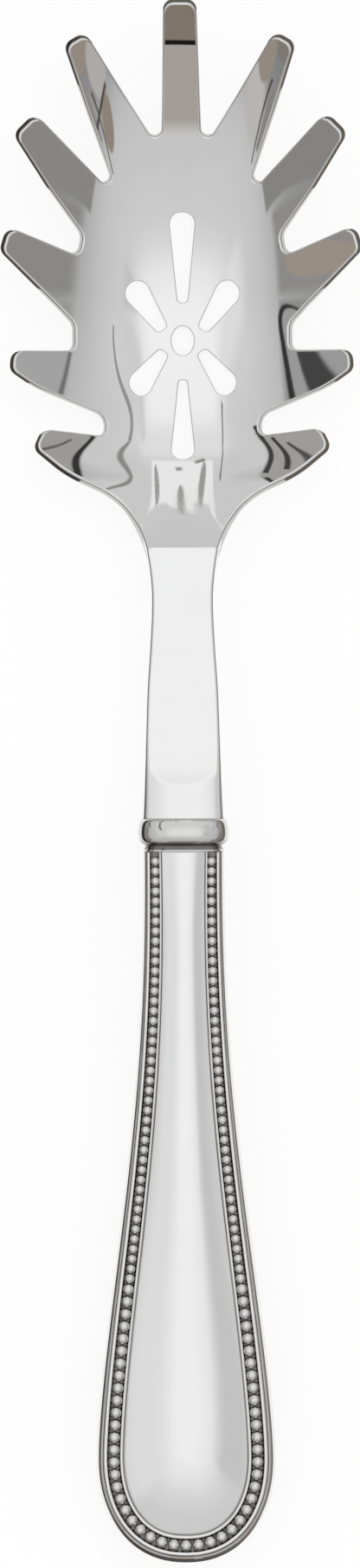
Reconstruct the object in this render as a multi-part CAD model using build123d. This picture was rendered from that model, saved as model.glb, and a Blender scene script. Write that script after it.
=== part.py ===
from build123d import *
import math
import os

# A pasta server with a pierced, toothed bowl and a hollow two-piece handle with a beaded border.
# It lies on its back: length along Y, bowl at +Y opening up, butt of the handle at -Y.
# All sizes are in millimetres.

# Bowl: a pressed sheet, measured from the centre hole of its pierced flower
sheet_thickness = 1.6
head_reach = 60.4
head_back = 37.2
head_half_width = 32.2
front_rise = 22.0
front_power = 2.2
back_start = 21.0
back_slope = 0.75
back_softness = 5.0
dish_start = 13.0
dish_slope = 0.75
dish_softness = 6.0
trough_start = 7.6
trough_slope = 0.42
trough_softness = 3.0
flank_start = 17.0
flank_slope = 0.27
flank_softness = 6.0
trough_front = 8.0
trough_length = 26.0
wall_fade_length = 12.0

# Tines, from the front to the back: two valley corners, two tip corners and a point on the far flank
tine_tip_half_width = 3.0
tip_radius = 1.9
valley_radius = 1.3
wide_valley_radius = 2.6
flank_radius = 22.0
shoulder_radius = 15.0
throat_radius = 17.0
neck_root_radius = 24.0
front_tine_shares = [
    [(0.112, 0.610), (0.171, 0.610), (0.528, 0.906), (0.648, 0.868), (0.534, 0.684)],
    [(0.396, 0.476), (0.452, 0.470), (0.812, 0.668), (0.932, 0.604), (0.752, 0.452)],
    [(0.566, 0.313), (0.590, 0.252), (0.972, 0.336), (1.012, 0.262), (0.702, 0.096)],
]
back_tine_shares = [
    [(0.616, 0.076), (0.618, -0.050), (0.950, -0.052), (0.960, -0.150), (0.823, -0.232)],
    [(0.442, -0.366), (0.446, -0.464), (0.785, -0.430), (0.834, -0.526), (0.650, -0.660)],
]
shoulder_share = (0.380, -0.765)
throat_share = (0.229, -0.926)

# Flower of slots: narrow end, wide end and the two widths, in shares of its reach
flower_reach = 23.2
flower_slot_shares = [
    ((0.000, 0.300), (0.000, 1.000), 0.075, 0.208),
    ((0.000, -0.306), (0.000, -0.938), 0.062, 0.190),
    ((0.155, 0.086), (0.408, 0.448), 0.085, 0.225),
    ((0.145, -0.086), (0.392, -0.402), 0.080, 0.228),
]
slot_corner_share = 0.84
eye_width = 4.0
eye_length = 5.2

# Neck and shank: one bar, flat on top, that grows towards the collar
neck_length = 48.2
neck_root_width = 12.7
neck_width = 11.0
neck_thickness = 4.2
shank_width = 14.6
shank_thickness = 6.6
neck_waist_share = 0.16
shank_swell_share = 0.62
bar_corner_share = 0.47
neck_face_height = 1.25
bend_wedge_length = 6.0
bend_overlap = 4.0
bend_setback = 0.5
tang_width = 6.0
tang_thickness = 3.6
tang_tip_width = 4.2
tang_length = 66.0

# Collar between shank and handle
ring_length = 4.4
ring_width = 16.2
ring_height = 11.4
flange_length = 1.6
flange_width = 15.2
flange_height = 9.8
collar_corner_share = 0.44
ring_edge_radius = 2.0

# Hollow handle: outline, side band, floor of the border and domed panel
handle_length = 127.3
belly_half_width = 16.05
mouth_half_width = 7.3
butt_length = 19.0
butt_power = 2.2
taper_rise_power = 1.5
taper_fall_power = 2.6
wall = 0.7
floor_height = 4.0
rim_inset_mouth = 0.85
rim_inset_belly = 1.5
rim_line_inset_mouth = 1.17
rim_line_inset_belly = 1.9
bead_inset_mouth = 2.26
bead_inset_belly = 3.35
inner_line_inset_mouth = 3.36
inner_line_inset_belly = 5.2
panel_inset_mouth = 3.9
panel_inset_belly = 6.3
panel_height_mouth = 0.5
panel_height_belly = 1.6
band_shares = [(0.0, 0.0), (0.10, 0.45), (0.42, 0.82), (1.0, 1.0)]
dome_shares = [(0.0, 0.0), (0.12, 0.46), (0.32, 0.82), (0.58, 1.0)]
stretch_steps = [(0, 1), (1, 1.5), (1.5, 2)]
stretch_points = 4

# Border: two thin raised lines with a row of beads between them
rim_line_radius = 0.26
inner_line_radius = 0.24
small_bead_radius = 0.78
large_bead_radius = 1.00
small_bead_pitch = 1.78
large_bead_pitch = 2.22
bead_change_place = 53.6
bead_change_length = 5.0
line_steps = 600

# Fits
fit_clearance = 0.05
overrun = 1.0
side_fill_share = 0.98
grid_across = 24
grid_along = 40
surface_tolerance = 0.02


def ramp(distance, softness):
    """A slope that starts at zero and turns gently into one of 45 degrees."""
    return (distance + math.hypot(distance, softness)) / 2


def smooth(value):
    """A step from 0 to 1 with level ends."""
    clamped = min(1.0, max(0.0, value))
    return clamped * clamped * (3 - 2 * clamped)


def both_sides(distance, start, slope, softness):
    """Rise of a wall that starts on both sides of a middle, where it is level."""
    rise = ramp(distance - start, softness) + ramp(-distance - start, softness)
    return slope * (rise - 2 * ramp(-start, softness))


def spine_height(y):
    """Height of the bowl's underside along its centre line."""
    if y > 0:
        return front_rise * (y / head_reach) ** front_power
    return both_sides(y, back_start, back_slope, back_softness)


def sheet_height(x, y):
    """Height of the bowl's underside: a dish in front and a trough towards the neck."""
    trough = smooth((trough_front - y) / trough_length)
    fade = smooth((y + head_back) / wall_fade_length)
    dish_rise = both_sides(x, dish_start, dish_slope, dish_softness)
    trough_rise = both_sides(x, trough_start, trough_slope, trough_softness)
    trough_rise += both_sides(x, flank_start, flank_slope, flank_softness)
    return spine_height(y) + fade * (dish_rise + trough * (trough_rise - dish_rise))


def rounded_outline(corners, radii):
    """A closed face through the corners, each rounded by its radius or by what its sides leave."""
    points = [Vector(*corner) for corner in corners]
    count = len(points)
    sides = [points[(index + 1) % count] - points[index] for index in range(count)]
    turns = [math.radians(sides[index - 1].get_angle(sides[index])) for index in range(count)]
    reaches = [radius * math.tan(turn / 2) for radius, turn in zip(radii, turns)]
    fills = []
    for index in range(count):
        wanted = reaches[index] + reaches[(index + 1) % count]
        fills.append(min(1.0, side_fill_share * sides[index].length / wanted))
    arcs = []
    for index, point in enumerate(points):
        fill = min(fills[index - 1], fills[index])
        reach = reaches[index] * fill
        radius = radii[index] * fill
        back = -sides[index - 1].normalized()
        ahead = sides[index].normalized()
        middle = (back + ahead).normalized() * (math.hypot(reach, radius) - radius)
        arcs.append(Edge.make_three_point_arc(point + back * reach, point + middle, point + ahead * reach))
    lines = [Edge.make_line(arcs[index - 1] @ 1, arcs[index] @ 0) for index in range(count)]
    return Face(Wire(arcs + lines))


def prism(face, bottom, top):
    """An upright block over a face drawn on the ground plane."""
    return Solid.extrude(Pos(0, 0, bottom) * face, Vector(0, 0, top - bottom))


def head_corner(share, along):
    return (share[0] * head_half_width, share[1] * along)


def head_outline():
    """The plan of the bowl and its eleven tines, with the root of the neck."""
    half = [(tine_tip_half_width, head_reach)]
    radii = [tip_radius]
    valley_radii = [valley_radius, valley_radius, wide_valley_radius, wide_valley_radius, wide_valley_radius]
    rows = [(row, head_reach) for row in front_tine_shares] + [(row, head_back) for row in back_tine_shares]
    for (row, along), first_radius in zip(rows, valley_radii):
        half += [head_corner(share, along) for share in row]
        radii += [first_radius, valley_radius, tip_radius, tip_radius, flank_radius]
    half.append(head_corner(shoulder_share, head_back))
    radii.append(shoulder_radius)
    half.append(head_corner(throat_share, head_back))
    radii.append(throat_radius)
    half.append((neck_root_width / 2, -head_back - overrun))
    radii.append(neck_root_radius)
    half.append((neck_root_width / 2, -head_back - bend_overlap))
    radii.append(overrun / 2)
    mirrored = [(-x, y) for x, y in reversed(half)]
    return rounded_outline(half + mirrored, radii + radii[::-1])


def slot_face(narrow_end, wide_end, narrow_width, wide_width):
    """A tapered slot with rounded corners, between two points on its axis."""
    start = Vector(*narrow_end) * flower_reach
    end = Vector(*wide_end) * flower_reach
    side = Vector(start.Y - end.Y, end.X - start.X).normalized() * flower_reach / 2
    narrow = side * narrow_width
    wide = side * wide_width
    corners = [start + narrow, start - narrow, end - wide, end + wide]
    radii = [slot_corner_share * half.length for half in (narrow, narrow, wide, wide)]
    return rounded_outline([(corner.X, corner.Y) for corner in corners], radii)


def flower_faces():
    """The pierced flower: an oval eye, two slots in line and two petals on each side."""
    faces = [Face(Wire(Edge.make_ellipse(eye_width / 2, eye_length / 2)))]
    for narrow_end, wide_end, narrow_width, wide_width in flower_slot_shares:
        slot = slot_face(narrow_end, wide_end, narrow_width, wide_width)
        faces.append(slot)
        if narrow_end[0] > 0:
            faces.append(slot.mirror(Plane.YZ))
    return faces


def sheet():
    """The pressed bowl: its curved underside cut to the plan, then thickened along its normals."""
    reach = head_half_width + 2 * sheet_thickness
    front = head_reach + 2 * sheet_thickness
    back = -head_back - 2 * bend_overlap
    rows = []
    for i in range(grid_across + 1):
        x = reach * (2 * i / grid_across - 1)
        ys = [back + (front - back) * j / grid_along for j in range(grid_along + 1)]
        rows.append([Vector(x, y, sheet_height(x, y)) for y in ys])
    underside = Face.make_surface_from_array_of_points(rows, tol=surface_tolerance)
    top = front_rise + head_reach
    cutter = prism(head_outline(), -top, top)
    for face in flower_faces():
        cutter -= prism(face, -top - overrun, top + overrun)
    trimmed = (underside & cutter).faces()[0]
    return Solid.thicken(trimmed, sheet_thickness, normal_override=(0, 0, 1))


def bend_angle():
    """Slope of the bowl where the neck starts, in degrees."""
    reach = head_back - back_start
    return math.degrees(math.atan(back_slope * (1 + reach / math.hypot(reach, back_softness)) / 2))


def bend_height():
    """Height of the flat neck, where it meets the bowl's upper face."""
    angle = math.radians(bend_angle())
    place = head_back + sheet_thickness * math.sin(angle)
    return spine_height(-place) + sheet_thickness * math.cos(angle)


def along_share(place):
    """How far a place lies from the mouth of the handle towards its butt."""
    return 1 - place / handle_length


def tapered(at_mouth, at_belly, place):
    """A size that grows evenly from the mouth of the handle to its butt."""
    return at_mouth + (at_belly - at_mouth) * along_share(place)


def handle_place():
    """Where the axis of neck and handle starts, and its slope down to where its back lies on the table."""
    pivot = bend_height() - neck_face_height
    foot = panel_inset_belly + dome_shares[-1][0] * (belly_half_width - panel_inset_belly)
    depth = floor_height + tapered(panel_height_mouth, panel_height_belly, foot)
    lever = neck_length + ring_length + flange_length + handle_length - foot
    slope = math.asin(pivot / math.hypot(lever, depth)) - math.atan(depth / lever)
    return Pos(0, -head_back, pivot) * Rot(math.degrees(slope), 0, 0)


def bar_section(place, width, thickness):
    """A rounded section of the neck bar, square to its axis."""
    plane = Plane(origin=(0, place, 0), x_dir=(1, 0, 0), z_dir=(0, -1, 0))
    return plane * RectangleRounded(width, thickness, bar_corner_share * thickness)


def neck_bar():
    """Neck and shank in one loft, from inside the bend to the collar."""
    waist = -neck_length * neck_waist_share
    swell = -neck_length * shank_swell_share
    middle_share = (shank_swell_share - neck_waist_share) / (1 - neck_waist_share)
    swell_width = neck_width + (shank_width - neck_width) * middle_share
    swell_thickness = neck_thickness + (shank_thickness - neck_thickness) * middle_share
    sections = [
        bar_section(bend_wedge_length, neck_root_width, neck_thickness),
        bar_section(waist, neck_width, neck_thickness),
        bar_section(swell, swell_width, swell_thickness),
        bar_section(-neck_length, shank_width, shank_thickness),
    ]
    return loft(sections)


def tang(clearance):
    """The tapered tongue that the handle holds, or the hole for it."""
    start = -neck_length + overrun
    end = -neck_length - tang_length
    large = Plane(origin=(0, start, 0), x_dir=(1, 0, 0), z_dir=(0, -1, 0))
    small = Plane(origin=(0, end - clearance, 0), x_dir=(1, 0, 0), z_dir=(0, -1, 0))
    grown = 2 * clearance
    sections = [
        large * Rectangle(tang_width + grown, tang_thickness + grown),
        small * Rectangle(tang_tip_width + grown, tang_thickness + grown),
    ]
    return loft(sections)


def half_space(plane, size):
    """Everything on the normal's side of a plane, as a large block."""
    return plane * Box(size, size, size, align=(Align.CENTER, Align.CENTER, Align.MIN))


def server_head():
    """Bowl, neck, shank and tang, forged in one piece."""
    size = 4 * head_reach
    height = bend_height()
    bar = handle_place() * neck_bar()
    face_plane = Plane(origin=(0, -head_back, height), z_dir=(0, 0, 1))
    wedge_plane = Plane(origin=(0, -head_back - bend_setback, height)).rotated((-bend_angle(), 0, 0))
    front = half_space(wedge_plane, size)
    flat = half_space(face_plane, size)
    bar = bar - front - flat
    bowl = sheet()
    sky = flat & Pos(0, -head_back, 0) * Box(size, 2 * bend_wedge_length, size)
    bowl = bowl - sky
    return bowl + bar + handle_place() * tang(0)


def collar_section(place, width, height):
    """A rounded section of the collar, square to the axis of the handle."""
    plane = Plane(origin=(0, place, 0), x_dir=(1, 0, 0), z_dir=(0, -1, 0))
    return plane * RectangleRounded(width, height, collar_corner_share * height)


def collar():
    """The rounded ring that the shank seats on, and the flange that closes the handle's mouth."""
    ring = extrude(collar_section(-neck_length, ring_width, ring_height), ring_length)
    ends = ring.faces().sort_by(Axis.Y)
    ring = fillet(ends[0].edges() + ends[-1].edges(), ring_edge_radius)
    flange = extrude(collar_section(-neck_length - ring_length, flange_width, flange_height), flange_length)
    return ring + flange - tang(fit_clearance)


def half_width(place):
    """Half the handle's width beyond its round butt, measured from the butt."""
    progress = (place - butt_length) / (handle_length - butt_length)
    fall = (1 - progress ** taper_rise_power) ** taper_fall_power
    return mouth_half_width + (belly_half_width - mouth_half_width) * fall


def outline_point(step):
    """A point of the outline: steps up to 1 go round the butt, and from 1 to 2 along the side."""
    if step <= 1:
        angle = step * math.pi / 2
        across = belly_half_width * math.sin(angle) ** (2 / butt_power)
        along = butt_length * (1 - math.cos(angle) ** (2 / butt_power))
        return Vector(across, along)
    along = butt_length + (handle_length - butt_length) * (step - 1)
    return Vector(half_width(min(along, handle_length)), along)


def outline_normal(step):
    """The inward direction at a point of the outline."""
    if step <= 0:
        return Vector(0, 1)
    if step >= 2:
        return Vector(-1, 0)
    near = outline_point(max(0.0, step - 1 / line_steps))
    far = outline_point(min(2.0, step + 1 / line_steps))
    run = (far - near).normalized()
    return Vector(-run.Y, run.X)


def inset_point(step, mouth_inset, belly_inset):
    """A point inside the outline, by an inset that grows from the mouth to the butt."""
    point = outline_point(step)
    return point + outline_normal(step) * tapered(mouth_inset, belly_inset, point.Y)


def inset_stretch(first, last, level, side):
    """One smooth stretch of a level line, on one side of the handle."""
    mouth_inset, belly_inset, mouth_height, belly_height = level
    fall = (mouth_height - belly_height) / handle_length
    steps = [first + (last - first) * index / stretch_points for index in range(stretch_points + 1)]
    points = [inset_point(step, mouth_inset, belly_inset) for step in steps]
    normals = [outline_normal(step) for step in (first, last)]
    return Edge.make_spline(
        [Vector(side * point.X, point.Y, belly_height + fall * point.Y) for point in points],
        tangents=[Vector(side * normal.Y, -normal.X, -normal.X * fall) for normal in normals],
    )


def inset_edges(level):
    """A level line from the mouth round the butt and back: insets and heights at mouth and butt."""
    edges = []
    for side in (1, -1):
        for first, last in stretch_steps:
            edges.append(inset_stretch(first, last, level, side))
    return edges


def inset_wire(level):
    """The closed outline of a level of the handle."""
    edges = inset_edges(level)
    ends = [edge @ 1 for edge in edges if abs((edge @ 1).Y - handle_length) < fit_clearance]
    return Wire(edges + [Edge.make_line(ends[0], ends[1])])


def stack(levels):
    """A solid lofted through level lines, from the lowest to the highest."""
    return Solid.make_loft([inset_wire(level) for level in levels])


def half_form(skin):
    """The upper half of the handle without its border, or its hollow when a skin is taken off."""
    floor = floor_height - skin
    band = []
    for inset_share, height_share in band_shares:
        mouth_inset = skin + inset_share * rim_inset_mouth
        belly_inset = skin + inset_share * rim_inset_belly
        height = height_share * floor
        band.append((mouth_inset, belly_inset, height, height))
    dome = []
    mouth_room = mouth_half_width - panel_inset_mouth
    belly_room = belly_half_width - panel_inset_belly
    for inset_share, height_share in dome_shares:
        mouth_inset = panel_inset_mouth + skin + inset_share * (mouth_room - skin)
        belly_inset = panel_inset_belly + skin + inset_share * (belly_room - skin)
        mouth_height = floor + height_share * panel_height_mouth
        belly_height = floor + height_share * panel_height_belly
        dome.append((mouth_inset, belly_inset, mouth_height, belly_height))
    return stack(band) + stack(dome)


def border_lines():
    """The two thin raised lines of the border, half sunk in its floor."""
    lines = []
    for mouth_inset, belly_inset, radius in (
        (rim_line_inset_mouth, rim_line_inset_belly, rim_line_radius),
        (inner_line_inset_mouth, inner_line_inset_belly, inner_line_radius),
    ):
        path = Wire(inset_edges((mouth_inset, belly_inset, floor_height, floor_height)))
        section = Plane(origin=path @ 0, z_dir=path % 0) * Circle(radius)
        lines.append(sweep(section, path=path))
    return lines


def bead_places():
    """Centre and radius of each bead on one side, from the middle of the butt to the mouth."""
    places = [(0.0, bead_inset_belly, large_bead_radius)]
    last = Vector(0, bead_inset_belly)
    travelled = 0.0
    for index in range(1, line_steps + 1):
        point = inset_point(2 * index / line_steps, bead_inset_mouth, bead_inset_belly)
        step = (point - last).length
        travelled += step
        size = smooth((bead_change_place - point.Y) / bead_change_length)
        pitch = small_bead_pitch + (large_bead_pitch - small_bead_pitch) * size
        radius = small_bead_radius + (large_bead_radius - small_bead_radius) * size
        if travelled >= pitch and point.Y < handle_length - radius - fit_clearance:
            travelled -= pitch
            place = point + (last - point) * (travelled / step)
            places.append((place.X, place.Y, radius))
        last = point
    return places


def bead_domes():
    """The row of beads, each a dome that stands on the floor of the border."""
    domes = []
    for across, along, radius in bead_places():
        dome = Solid.make_sphere(radius, angle1=0, angle2=90)
        domes.append(Pos(across, along, floor_height) * dome)
        if across > 0:
            domes.append(Pos(-across, along, floor_height) * dome)
    return domes


def add_beads(shell):
    """The same solid with the beads raised from the widest part of its border floor."""
    faces = shell.faces()
    level = [face for face in faces if abs(face.center().Z - floor_height) < fit_clearance]
    flat = [face for face in level if face.geom_type == GeomType.PLANE]
    channel = max(flat, key=lambda face: face.area)
    rounds = []
    feet = []
    for dome in bead_domes():
        curved = dome.faces().filter_by(GeomType.SPHERE)[0]
        rounds.append(curved)
        feet.append(dome.faces().filter_by(GeomType.PLANE)[0].outer_wire())
    floor = Face(channel.outer_wire(), feet)
    kept = [face for face in faces if not face.is_same(channel)]
    return Solid(Shell(kept + [floor] + rounds))


def half_shell():
    """One stamped half of the handle with its border, drawn from the butt at the origin."""
    size = 2 * handle_length
    beyond = (Align.CENTER, Align.MIN, Align.CENTER)
    mouth_side = Pos(0, handle_length, 0) * Box(size, size, size, align=beyond)
    plain = half_form(0).fuse(*border_lines()) - half_form(wall) - mouth_side
    return add_beads(plain)


def filler():
    """The cement core that fills the handle and holds the tang, drawn from the butt."""
    half = half_form(wall + fit_clearance)
    return half + half.mirror(Plane.XY)


def build():
    """Every piece in its place, with the origin under the middle of the whole server."""
    place = handle_place()
    mouth = neck_length + ring_length + flange_length
    handle = place * Pos(0, -mouth - handle_length, 0)
    shell = half_shell()
    pieces = {
        "server_head": server_head(),
        "collar": place * collar(),
        "handle_front_shell": handle * shell,
        "handle_back_shell": handle * shell.mirror(Plane.XY),
        "handle_filler": handle * filler() - place * tang(fit_clearance),
    }
    boxes = [piece.bounding_box() for piece in pieces.values()]
    front = max(box.max.Y for box in boxes)
    back = min(box.min.Y for box in boxes)
    bottom = min(box.min.Z for box in boxes)
    shift = Pos(0, -(front + back) / 2, -bottom)
    return {name: shift * piece for name, piece in pieces.items()}


os.makedirs("parts", exist_ok=True)
for name, piece in build().items():
    export_step(piece, "parts/" + name + ".step")
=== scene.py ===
import math

import bmesh
import bpy
import numpy as np
from bpy.props import FloatProperty, FloatVectorProperty, IntProperty, PointerProperty
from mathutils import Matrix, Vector
from mathutils.geometry import delaunay_2d_cdt


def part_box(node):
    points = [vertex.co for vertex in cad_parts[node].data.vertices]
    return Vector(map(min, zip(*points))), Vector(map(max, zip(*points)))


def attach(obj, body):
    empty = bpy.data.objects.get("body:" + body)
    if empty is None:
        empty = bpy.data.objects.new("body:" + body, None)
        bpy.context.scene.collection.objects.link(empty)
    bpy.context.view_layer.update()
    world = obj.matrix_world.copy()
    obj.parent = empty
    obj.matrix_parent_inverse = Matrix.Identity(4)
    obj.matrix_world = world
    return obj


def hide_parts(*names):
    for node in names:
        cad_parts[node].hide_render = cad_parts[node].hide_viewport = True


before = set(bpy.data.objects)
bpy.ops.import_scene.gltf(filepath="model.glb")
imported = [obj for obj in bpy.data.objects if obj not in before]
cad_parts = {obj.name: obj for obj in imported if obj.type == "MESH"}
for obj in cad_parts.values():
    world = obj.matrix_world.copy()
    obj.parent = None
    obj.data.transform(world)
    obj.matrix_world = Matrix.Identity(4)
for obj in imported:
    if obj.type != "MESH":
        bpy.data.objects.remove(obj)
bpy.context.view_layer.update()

bl_info = {
    "name": "Pasta server",
    "version": (1, 0, 0),
    "blender": (4, 5, 0),
    "location": "3D View > Sidebar > Pasta server",
    "description": "Polished pasta server with a pierced bowl and a beaded hollow handle",
    "category": "Add Mesh",
}

MM = 0.001

# Bowl and neck in millimetres, from the centre hole of the flower, as in the part
SHEET = 1.6
HEAD_REACH = 60.4
HEAD_BACK = 37.2
HEAD_HALF = 32.2
FRONT_RISE = 22.0
FRONT_POWER = 2.2
BACK_WALL = (21.0, 0.75, 5.0)
DISH_WALL = (13.0, 0.75, 6.0)
TROUGH_WALL = (7.6, 0.42, 1.4)
FLANK_WALL = (17.0, 0.27, 6.0)
TIP_HALF = 3.0
TIP_RADIUS = 1.9
VALLEY_RADIUS = 1.3
WIDE_VALLEY_RADIUS = 2.6
FLANK_RADIUS = 22.0
FRONT_TINES = [
    [(0.112, 0.610), (0.171, 0.610), (0.528, 0.906), (0.648, 0.868), (0.534, 0.684)],
    [(0.396, 0.476), (0.452, 0.470), (0.812, 0.668), (0.932, 0.604), (0.752, 0.452)],
    [(0.566, 0.313), (0.590, 0.252), (0.972, 0.336), (1.012, 0.262), (0.702, 0.096)],
]
BACK_TINES = [
    [(0.616, 0.076), (0.618, -0.050), (0.950, -0.052), (0.960, -0.150), (0.823, -0.232)],
    [(0.442, -0.366), (0.446, -0.464), (0.785, -0.430), (0.834, -0.526), (0.650, -0.660)],
]
SHOULDER = [(12.24, -28.46, 15.0), (7.37, -34.46, 17.0)]
CUT_PLACE = -38.15
CUT_HALF = 6.38
CUT_LEAN = 1.036
FLOWER_REACH = 23.2
FLOWER_SLOTS = [
    ((0.000, 0.300), (0.000, 1.000), 0.075, 0.208),
    ((0.000, -0.306), (0.000, -0.938), 0.062, 0.190),
    ((0.155, 0.086), (0.408, 0.448), 0.085, 0.225),
    ((0.145, -0.086), (0.392, -0.402), 0.080, 0.228),
]
EYE = (4.0, 5.2)
GRID = 0.55
CORNER_STEPS = 5
# Painted shade on the bowl's rounded edges, a dark outline: its strength, and the depth share where it starts
EDGE_SHADE = 0.45
SHADE_START = 0.12
ROOT_EXTRA = 2.2
ROOT_START = -30.0
TROUGH_START = 8.0
TROUGH_RUN = 26.0
WALL_FADE = 12.0
EYE_POINTS = 48
SLOT_ROUNDING_SHARE = 0.84
SLOT_SPACING = 0.4
HOLE_EDGE_SHARE = 0.6
SLOPE_STEP = 1e-3

# The bowl's mesh: gap between rows and least gap to the outline, as shares of the grid, and least step
GRID_ROW_SHARE = 0.866
GRID_GAP_SHARE = 0.62
SAME_POINT = 1e-7

# Points of a shell that are one, in metres, and an edge too short to keep, as a share of that
SHELL_WELD = 2e-7
DEGENERATE_SHARE = 0.05

# Neck, shank and collar along the neck's own axis
NECK_LENGTH = 48.2
NECK_FACE = 1.25
RING_LENGTH = 4.4
FLANGE_LENGTH = 1.6
NECK_PLACES = [0.0, 4.2, 7.9, 12.0, 17.2, 24.6, 33.9, 43.2, 48.2]
NECK_HALVES = [6.38, 5.78, 5.50, 5.54, 5.81, 6.30, 6.62, 7.00, 7.25]
NECK_STATIONS = 160
NECK_ACROSS = 24
CUT_FLOOR_PLACE = 2.3
SCOOP_START = 36.4
SCOOP_RISE = 0.0095
FACE_BLEND = 0.04
FACE_LIP = (0.02, 2.0)
CROWN_POWER = 2.4

# How the neck changes along its axis: its value at the bowl, then the start, length and amount of each change
UPPER_EDGE_GROWTH = (0.0, (0.0, 10.0, 0.15), (32.0, 16.0, 0.75))
LOWER_EDGE_GROWTH = (0.0, (0.0, 12.0, 1.0), (32.0, 16.0, 0.5))
CROWN_DROP = (0.16, (24.0, 12.0, 0.36))
BAR_HEIGHT = (2.1, (6.0, 30.0, 1.32))
FLOOR_DEPTH = (1.72, (0.0, 8.0, 0.4), (8.0, 38.0, 1.18))

# Hollow handle, measured from its butt
HANDLE_LENGTH = 127.3
BELLY_HALF = 16.05
MOUTH_HALF = 7.3
BUTT_LENGTH = 19.0
FLOOR_HEIGHT = 4.0
PANEL_HEIGHT_MOUTH = 0.42
PANEL_HEIGHT_BELLY = 1.45
PANEL_FOOT = 11.955
FOOT_HEIGHT = 5.497
BEAD_INSET = 3.35


def ramp(distance, softness):
    """A slope that starts at zero and turns gently into one of 45 degrees."""
    return (distance + np.hypot(distance, softness)) / 2


def smooth(value):
    """A step from 0 to 1 with level ends."""
    share = np.clip(value, 0.0, 1.0)
    return share * share * (3 - 2 * share)


def wall_rise(x, start, slope, softness):
    """Rise of a wall on both sides of the centre line, level in the middle."""
    rise = ramp(x - start, softness) + ramp(-x - start, softness)
    return slope * (rise - 2 * ramp(-start, softness))


def sheet_height(x, y):
    """Height of the bowl's underside: a dish in front and a trough towards the neck."""
    front = FRONT_RISE * (np.abs(y) / HEAD_REACH) ** FRONT_POWER
    back = wall_rise(y, *BACK_WALL)
    trough = smooth((TROUGH_START - y) / TROUGH_RUN)
    fade = smooth((y + HEAD_BACK) / WALL_FADE)
    dish = wall_rise(x, *DISH_WALL)
    flank = wall_rise(x, *TROUGH_WALL) + wall_rise(x, *FLANK_WALL)
    return np.where(y > 0, front, back) + fade * (dish + trough * (flank - dish))


def sheet_frame(x, y):
    """Points of the underside and its upward normals."""
    step = SLOPE_STEP
    slope_x = (sheet_height(x + step, y) - sheet_height(x - step, y)) / (2 * step)
    slope_y = (sheet_height(x, y + step) - sheet_height(x, y - step)) / (2 * step)
    normal = np.stack([-slope_x, -slope_y, np.ones_like(x)], axis=-1)
    normal /= np.linalg.norm(normal, axis=-1, keepdims=True)
    return np.stack([x, y, sheet_height(x, y)], axis=-1), normal


def root_extra(y):
    """Extra metal under the sheet, where it grows into the neck."""
    return ROOT_EXTRA * smooth((ROOT_START - y) / (ROOT_START - CUT_PLACE))


def sheet_point(places, depth):
    """Points of the bowl at a depth under its upper face, as a share of its thickness."""
    x, y = places[:, 0], places[:, 1]
    base, normal = sheet_frame(x, y)
    full = SHEET + root_extra(y)
    return base + normal * (SHEET - depth * full)[:, None]


def face_normals(places, depth):
    """Normals of the upper or lower face, from the slopes of its points."""
    step_x, step_y = SLOPE_STEP * np.eye(2)
    along_x = sheet_point(places + step_x, depth) - sheet_point(places - step_x, depth)
    along_y = sheet_point(places + step_y, depth) - sheet_point(places - step_y, depth)
    normal = np.cross(along_x, along_y)
    return normal / np.linalg.norm(normal, axis=1, keepdims=True)


BEND_REACH = HEAD_BACK - BACK_WALL[0]
BEND_SLOPE = math.atan(BACK_WALL[1] * (1 + BEND_REACH / math.hypot(BEND_REACH, BACK_WALL[2])) / 2)
BEND_SPOT = HEAD_BACK + SHEET * math.sin(BEND_SLOPE)
BEND_HEIGHT = float(wall_rise(BEND_SPOT, *BACK_WALL)) + SHEET * math.cos(BEND_SLOPE)
PIVOT = BEND_HEIGHT - NECK_FACE
MOUTH_PLACE = NECK_LENGTH + RING_LENGTH + FLANGE_LENGTH
LEVER = MOUTH_PLACE + HANDLE_LENGTH - PANEL_FOOT
SLOPE = math.asin(PIVOT / math.hypot(LEVER, FOOT_HEIGHT)) - math.atan(FOOT_HEIGHT / LEVER)
HEAD_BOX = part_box("server_head")
CENTRE_Y = HEAD_BOX[1][1] / MM - HEAD_REACH
TABLE_GAP = HEAD_BOX[0][2] / MM


def bowl_to_frame(points):
    """Millimetres from the centre hole to metres in the frame."""
    return (np.asarray(points) + np.array([0.0, CENTRE_Y, TABLE_GAP])) * MM


def neck_to_bowl(points):
    """Points along the neck's sloping axis, to the bowl's millimetres."""
    points = np.asarray(points, dtype=float)
    y = points[..., 1] * math.cos(SLOPE) - points[..., 2] * math.sin(SLOPE) - HEAD_BACK
    z = points[..., 1] * math.sin(SLOPE) + points[..., 2] * math.cos(SLOPE) + PIVOT
    return np.stack([points[..., 0], y, z], axis=-1)


def handle_to_frame(points):
    """Points of the handle, from its butt and seam, to metres in the frame."""
    moved = np.asarray(points, dtype=float) - np.array([0.0, MOUTH_PLACE + HANDLE_LENGTH, 0.0])
    return bowl_to_frame(neck_to_bowl(moved))


# Corners of an outline: how much of a side they may take, the gap of their points and the most turn there
CORNER_ROOM_SHARE = 0.98
CORNER_GAP_SHARE = 0.7
CORNER_TURN = 0.2


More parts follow.
